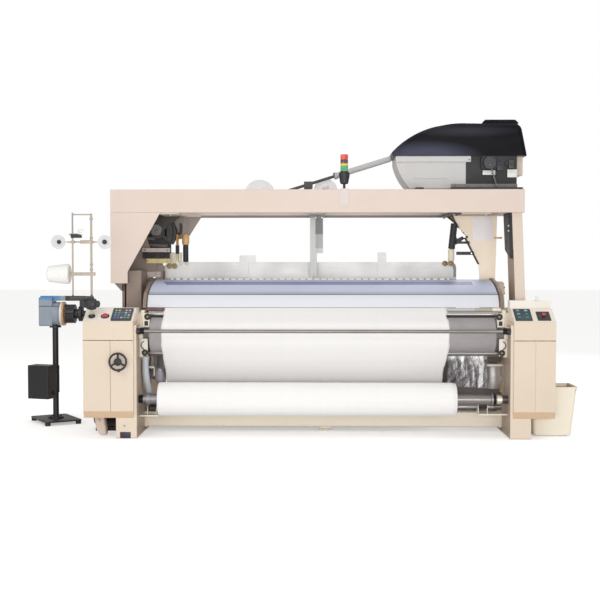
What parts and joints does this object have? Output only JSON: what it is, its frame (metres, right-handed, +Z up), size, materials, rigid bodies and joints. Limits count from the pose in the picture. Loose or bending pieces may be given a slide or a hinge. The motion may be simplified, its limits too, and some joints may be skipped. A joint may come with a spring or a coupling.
{
  "type": "power loom",
  "caption": "Wide power loom with side consoles, cloth roll, take-up rollers, splash hood, heald frames under a gantry, overhead dobby, feeder stand and bin.",
  "frame": {"origin": "on the floor, at the centre of the rectangle of the four anchor holes in the side frames' feet", "axes": "+X along the cloth's width, to the right seen from the weaver's side; +Y from the weaver to the warp beam; +Z up"},
  "size_m": [4.3449, 1.8879, 2.468],
  "materials": {
    "machine_paint": "satin",
    "pale_paint": "satin",
    "panel_paint": "satin",
    "brown_paint": "matte",
    "cream_plate": "satin",
    "grey_paint": "satin",
    "black_paint": "satin",
    "bright_steel": "brushed",
    "rail_metal": "satin",
    "roller_rubber": "matte",
    "gloss_black": "gloss",
    "black_plastic": "matte",
    "screen_glass": "gloss",
    "keypad_teal": "matte",
    "red_plastic": "gloss",
    "hood_sheet": "gloss",
    "lens_plastic": "gloss",
    "feeder_housing": "satin",
    "ring_plastic": "satin",
    "bin_plastic": "matte",
    "clear_plastic": "clear",
    "hose_rubber": "matte",
    "cloth_fabric": "matte",
    "warp_fabric": "matte"
  },
  "bodies": {
    "structure": {"left_side_frame": "machine_paint", "right_side_frame": "machine_paint", "cross_beams": "machine_paint", "left_console": "machine_paint", "right_console": "machine_paint", "console_panels": "machine_paint", "touch_screen": "screen_glass", "keypad": "keypad_teal", "roller_brackets": "cream_plate", "front_rod": "bright_steel", "cloth_sheet": "cloth_fabric", "warp_sheet": "warp_fabric", "lever_brackets": "brown_paint", "gantry_beams": "pale_paint", "left_arch_cover": "pale_paint", "left_arch_post": "brown_paint", "right_arch_panel": "panel_paint", "right_outer_post": "brown_paint", "cable_duct": "black_plastic", "centre_hanger": "bright_steel", "hood_brackets": "brown_paint", "dobby_casing": "grey_paint", "dobby_hood": "gloss_black", "dobby_drive_box": "black_paint", "harness_tube": "black_plastic", "signal_tower": "black_plastic", "signal_lenses": "lens_plastic", "feeder_stand": "black_paint", "feeder_body": "feeder_housing", "creel_frame": "grey_paint", "yarn_cone": "warp_fabric", "waste_bin": "bin_plastic", "main_motor": "black_paint", "water_hose": "hose_rubber", "drip_tray": "brown_paint", "plastic_curtain": "clear_plastic"},
    "handwheel": {"handwheel": "black_plastic"},
    "emergency_button": {"emergency_button": "red_plastic"},
    "stop_button": {"stop_button": "red_plastic"},
    "take_up": {"take_up_roller": "roller_rubber"},
    "upper_guide": {"upper_guide_roller": "bright_steel"},
    "press": {"press_roller": "bright_steel"},
    "lower_guide": {"lower_guide_roller": "bright_steel"},
    "cloth_roll": {"cloth_core": "bright_steel", "cloth_wound": "cloth_fabric"},
    "beam": {"warp_beam": "grey_paint", "warp_wound": "warp_fabric"},
    "back_rest": {"back_rest_roller": "bright_steel"},
    "sley": {"sley": "grey_paint", "reed": "bright_steel"},
    "healds_a": {"heald_frame_1": "rail_metal", "heald_frame_3": "rail_metal"},
    "healds_b": {"heald_frame_2": "rail_metal", "heald_frame_4": "rail_metal"},
    "left_jacks_a": {"left_levers_a": "black_paint"},
    "left_jacks_b": {"left_levers_b": "black_paint"},
    "right_jacks_a": {"right_levers_a": "black_paint"},
    "right_jacks_b": {"right_levers_b": "black_paint"},
    "hood": {"splash_hood": "hood_sheet"},
    "feeder_ring": {"feeder_ring": "ring_plastic"}
  },
  "joints": [
    {"name": "handwheel_turn", "type": "hinge", "parent": "structure", "child": "handwheel", "pos_m": [-1.5185, -0.8, 0.58], "axis": [0, 1, 0], "continuous": true},
    {"name": "emergency_button_push", "type": "slide", "parent": "structure", "child": "emergency_button", "axis": [0, 0.5025, -0.8646], "range_m": [0, 0.005], "stiffness_N_per_m": 800, "springref_m": -0.001},
    {"name": "stop_button_push", "type": "slide", "parent": "structure", "child": "stop_button", "axis": [0, 0.5025, -0.8646], "range_m": [0, 0.005], "stiffness_N_per_m": 800, "springref_m": -0.001},
    {"name": "take_up_turn", "type": "hinge", "parent": "structure", "child": "take_up", "pos_m": [0, -0.55, 0.76], "axis": [1, 0, 0], "continuous": true},
    {"name": "upper_guide_turn", "type": "hinge", "parent": "structure", "child": "upper_guide", "pos_m": [0, -0.51, 0.92], "axis": [1, 0, 0], "continuous": true},
    {"name": "press_turn", "type": "hinge", "parent": "structure", "child": "press", "pos_m": [0, -0.47981, 0.61922], "axis": [1, 0, 0], "continuous": true},
    {"name": "lower_guide_turn", "type": "hinge", "parent": "structure", "child": "lower_guide", "pos_m": [0, -0.34, 0.187], "axis": [1, 0, 0], "continuous": true},
    {"name": "cloth_roll_turn", "type": "hinge", "parent": "structure", "child": "cloth_roll", "pos_m": [0, -0.67, 0.285], "axis": [1, 0, 0], "continuous": true},
    {"name": "warp_beam_turn", "type": "hinge", "parent": "structure", "child": "beam", "pos_m": [0, 0.64, 0.52], "axis": [1, 0, 0], "continuous": true},
    {"name": "back_rest_turn", "type": "hinge", "parent": "structure", "child": "back_rest", "pos_m": [0, 0.56, 1.075], "axis": [1, 0, 0], "continuous": true},
    {"name": "sley_swing", "type": "hinge", "parent": "structure", "child": "sley", "pos_m": [0, -0.215, 0.43], "axis": [1, 0, 0], "range_deg": [0, 9]},
    {"name": "heald_a_lift", "type": "slide", "parent": "structure", "child": "healds_a", "axis": [0, 0, 1], "range_m": [-0.04, 0.04]},
    {"name": "heald_b_lift", "type": "slide", "parent": "structure", "child": "healds_b", "axis": [0, 0, 1], "range_m": [-0.04, 0.04]},
    {"name": "left_jacks_a_tilt", "type": "hinge", "parent": "structure", "child": "left_jacks_a", "pos_m": [-1.361, 0.173, 1.557], "axis": [0, 1, 0], "range_deg": [-16, 16]},
    {"name": "left_jacks_b_tilt", "type": "hinge", "parent": "structure", "child": "left_jacks_b", "pos_m": [-1.361, 0.199, 1.557], "axis": [0, 1, 0], "range_deg": [-16, 16]},
    {"name": "right_jacks_a_tilt", "type": "hinge", "parent": "structure", "child": "right_jacks_a", "pos_m": [1.22, 0.173, 1.557], "axis": [0, 1, 0], "range_deg": [-16, 16]},
    {"name": "right_jacks_b_tilt", "type": "hinge", "parent": "structure", "child": "right_jacks_b", "pos_m": [1.22, 0.199, 1.557], "axis": [0, 1, 0], "range_deg": [-16, 16]},
    {"name": "splash_hood_swing", "type": "hinge", "parent": "structure", "child": "hood", "pos_m": [0, 0.044, 1.161], "axis": [-1, 0, 0], "range_deg": [0, 60]},
    {"name": "feeder_ring_turn", "type": "hinge", "parent": "structure", "child": "feeder_ring", "pos_m": [-2.128, 0.05, 0.893], "axis": [1, 0, 0], "continuous": true}
  ],
  "couplings": [
    {"joint": "upper_guide_turn", "follows": "take_up_turn", "ratio": 6.1364},
    {"joint": "press_turn", "follows": "take_up_turn", "ratio": -6.1364},
    {"joint": "lower_guide_turn", "follows": "take_up_turn", "ratio": -5},
    {"joint": "cloth_roll_turn", "follows": "take_up_turn", "ratio": -1.063},
    {"joint": "back_rest_turn", "follows": "warp_beam_turn", "ratio": 4.6774},
    {"joint": "left_jacks_a_tilt", "follows": "heald_a_lift", "rad_per_m": -6.398},
    {"joint": "left_jacks_b_tilt", "follows": "heald_b_lift", "rad_per_m": -6.398},
    {"joint": "right_jacks_a_tilt", "follows": "heald_a_lift", "rad_per_m": 6.398},
    {"joint": "right_jacks_b_tilt", "follows": "heald_b_lift", "rad_per_m": 6.398}
  ]
}
